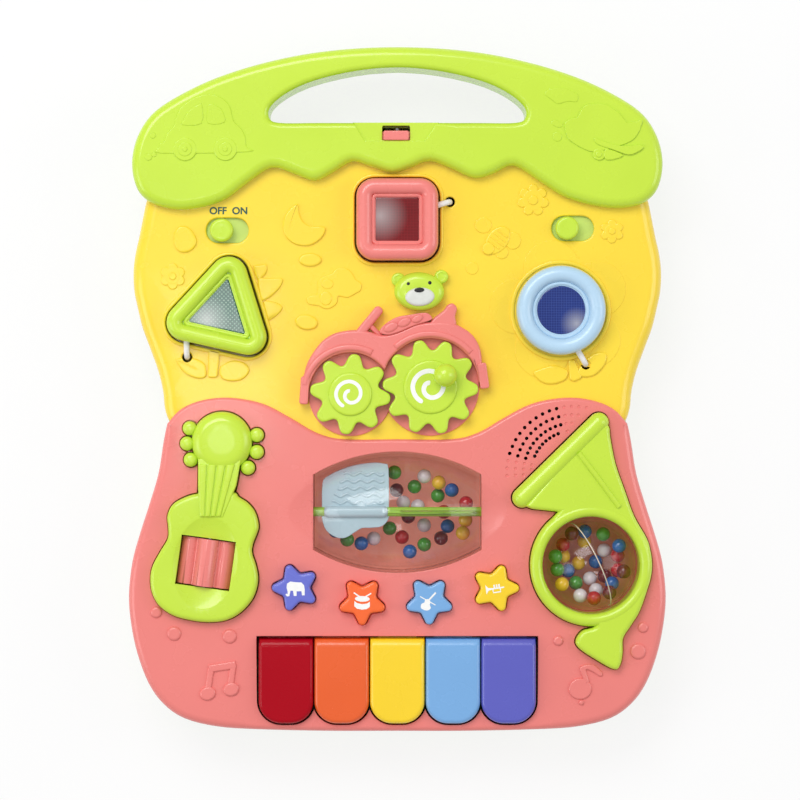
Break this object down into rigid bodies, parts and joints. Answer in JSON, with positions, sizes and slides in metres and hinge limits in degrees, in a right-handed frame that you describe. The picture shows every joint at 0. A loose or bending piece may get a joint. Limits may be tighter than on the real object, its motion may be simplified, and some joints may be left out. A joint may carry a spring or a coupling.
{
  "type": "activity panel of a baby push walker",
  "caption": "Detachable activity panel of a baby push walker with carry handle, lift-out shapes, gears, bead drum and ball, guitar roller, star buttons and piano keys.",
  "frame": {"origin": "centre of the footprint on the plane that the panel's back lies on", "axes": "+Z out of the front face, +Y towards the carry handle, +X to the right seen from the front"},
  "size_m": [0.28, 0.3559, 0.066],
  "materials": {
    "lime_plastic": "gloss",
    "yellow_plastic": "gloss",
    "pink_plastic": "gloss",
    "pale_blue_plastic": "gloss",
    "red_plastic": "gloss",
    "orange_plastic": "gloss",
    "key_yellow_plastic": "gloss",
    "light_blue_plastic": "gloss",
    "indigo_plastic": "gloss",
    "green_plastic": "gloss",
    "black_plastic": "matte",
    "clear_plastic": "gloss",
    "red_window": "gloss",
    "green_window": "gloss",
    "blue_window": "gloss",
    "bead_mix": "gloss",
    "battery_sleeve": "matte",
    "board": "matte",
    "led_white": "gloss",
    "grey_rubber": "matte",
    "steel": "satin",
    "white_cord": "woven"
  },
  "bodies": {
    "panel": {"back_shell": "lime_plastic", "upper_panel": "yellow_plastic", "lower_panel": "pink_plastic", "top_cover": "lime_plastic", "bicycle_frame": "pink_plastic", "bear_head": "lime_plastic", "guitar_body": "lime_plastic", "horn_body": "lime_plastic", "drum_brackets": "pink_plastic", "key_rod": "steel", "contact_pad": "grey_rubber", "circuit_board": "board", "speaker": "black_plastic", "speaker_magnet": "steel", "batteries": "battery_sleeve", "battery_springs": "steel", "window_leds": "led_white", "slide_switches": "black_plastic", "latch_spring": "steel", "shell_screws": "steel"},
    "release_button": {"release_button": "pink_plastic"},
    "switch_left": {"switch_knob_left": "lime_plastic"},
    "switch_right": {"switch_knob_right": "lime_plastic"},
    "square_block": {"square_block": "pink_plastic", "square_lens": "red_window", "square_tether": "white_cord"},
    "triangle_block": {"triangle_block": "lime_plastic", "triangle_lens": "green_window", "triangle_tether": "white_cord"},
    "round_block": {"round_block": "pale_blue_plastic", "round_lens": "blue_window", "round_tether": "white_cord"},
    "big_gear": {"big_gear": "lime_plastic", "big_gear_screw": "steel"},
    "small_gear": {"small_gear": "lime_plastic", "small_gear_screw": "steel"},
    "drum": {"drum_shell": "clear_plastic", "drum_paddle": "pale_blue_plastic", "drum_axle": "green_plastic", "drum_beads": "bead_mix"},
    "bead_ball": {"ball_shell": "clear_plastic", "ball_beads": "bead_mix"},
    "guitar_roller": {"guitar_roller": "pink_plastic", "roller_axle": "steel"},
    "key_1": {"key_1": "red_plastic"},
    "key_2": {"key_2": "orange_plastic"},
    "key_3": {"key_3": "key_yellow_plastic"},
    "key_4": {"key_4": "light_blue_plastic"},
    "key_5": {"key_5": "indigo_plastic"},
    "star_1": {"star_1": "indigo_plastic"},
    "star_2": {"star_2": "orange_plastic"},
    "star_3": {"star_3": "light_blue_plastic"},
    "star_4": {"star_4": "key_yellow_plastic"},
    "battery_door": {"battery_door": "lime_plastic", "door_screw": "steel"}
  },
  "joints": [
    {"name": "release_press", "type": "slide", "parent": "panel", "child": "release_button", "axis": [0, 1, 0], "range_m": [0, 0.002], "stiffness_N_per_m": 300, "springref_m": -0.004},
    {"name": "switch_left_slide", "type": "slide", "parent": "panel", "child": "switch_left", "axis": [1, 0, 0], "range_m": [0, 0.007]},
    {"name": "switch_right_slide", "type": "slide", "parent": "panel", "child": "switch_right", "axis": [1, 0, 0], "range_m": [0, 0.007]},
    {"name": "square_lift", "type": "slide", "parent": "panel", "child": "square_block", "axis": [0, 0, 1], "range_m": [0, 0.022]},
    {"name": "triangle_lift", "type": "slide", "parent": "panel", "child": "triangle_block", "axis": [0, 0, 1], "range_m": [0, 0.022]},
    {"name": "round_lift", "type": "slide", "parent": "panel", "child": "round_block", "axis": [0, 0, 1], "range_m": [0, 0.022]},
    {"name": "big_gear_turn", "type": "hinge", "parent": "panel", "child": "big_gear", "pos_m": [0.01721, 0.00119, 0.044], "axis": [0, 0, 1], "continuous": true},
    {"name": "small_gear_turn", "type": "hinge", "parent": "panel", "child": "small_gear", "pos_m": [-0.0244, -0.0026, 0.044], "axis": [0, 0, 1], "continuous": true},
    {"name": "drum_turn", "type": "hinge", "parent": "panel", "child": "drum", "pos_m": [0, -0.064, 0.0355], "axis": [1, 0, 0], "continuous": true},
    {"name": "bead_ball_turn", "type": "hinge", "parent": "panel", "child": "bead_ball", "pos_m": [0.1006, -0.0914, 0.035], "axis": [0.4195, -0.9078, 0], "continuous": true},
    {"name": "guitar_roller_turn", "type": "hinge", "parent": "panel", "child": "guitar_roller", "pos_m": [-0.0995, -0.0901, 0.0365], "axis": [0.1392, 0.9903, 0], "continuous": true},
    {"name": "key_1_press", "type": "hinge", "parent": "panel", "child": "key_1", "pos_m": [-0.0578, -0.1266, 0.037], "axis": [1, 0, 0], "range_deg": [0, 3], "stiffness_Nm_per_rad": 0.6, "springref_deg": -6.88},
    {"name": "key_2_press", "type": "hinge", "parent": "panel", "child": "key_2", "pos_m": [-0.0289, -0.1266, 0.037], "axis": [1, 0, 0], "range_deg": [0, 3], "stiffness_Nm_per_rad": 0.6, "springref_deg": -6.88},
    {"name": "key_3_press", "type": "hinge", "parent": "panel", "child": "key_3", "pos_m": [0, -0.1266, 0.037], "axis": [1, 0, 0], "range_deg": [0, 3], "stiffness_Nm_per_rad": 0.6, "springref_deg": -6.88},
    {"name": "key_4_press", "type": "hinge", "parent": "panel", "child": "key_4", "pos_m": [0.0289, -0.1266, 0.037], "axis": [1, 0, 0], "range_deg": [0, 3], "stiffness_Nm_per_rad": 0.6, "springref_deg": -6.88},
    {"name": "key_5_press", "type": "hinge", "parent": "panel", "child": "key_5", "pos_m": [0.0578, -0.1266, 0.037], "axis": [1, 0, 0], "range_deg": [0, 3], "stiffness_Nm_per_rad": 0.6, "springref_deg": -6.88},
    {"name": "star_1_press", "type": "slide", "parent": "panel", "child": "star_1", "axis": [0, 0, -1], "range_m": [0, 0.0018], "stiffness_N_per_m": 300, "springref_m": -0.002},
    {"name": "star_2_press", "type": "slide", "parent": "panel", "child": "star_2", "axis": [0, 0, -1], "range_m": [0, 0.0018], "stiffness_N_per_m": 300, "springref_m": -0.002},
    {"name": "star_3_press", "type": "slide", "parent": "panel", "child": "star_3", "axis": [0, 0, -1], "range_m": [0, 0.0018], "stiffness_N_per_m": 300, "springref_m": -0.002},
    {"name": "star_4_press", "type": "slide", "parent": "panel", "child": "star_4", "axis": [0, 0, -1], "range_m": [0, 0.0018], "stiffness_N_per_m": 300, "springref_m": -0.002},
    {"name": "battery_door_off", "type": "slide", "parent": "panel", "child": "battery_door", "axis": [0, 0, -1], "range_m": [0, 0.03]}
  ],
  "couplings": [
    {"joint": "small_gear_turn", "follows": "big_gear_turn", "ratio": -1.25}
  ]
}
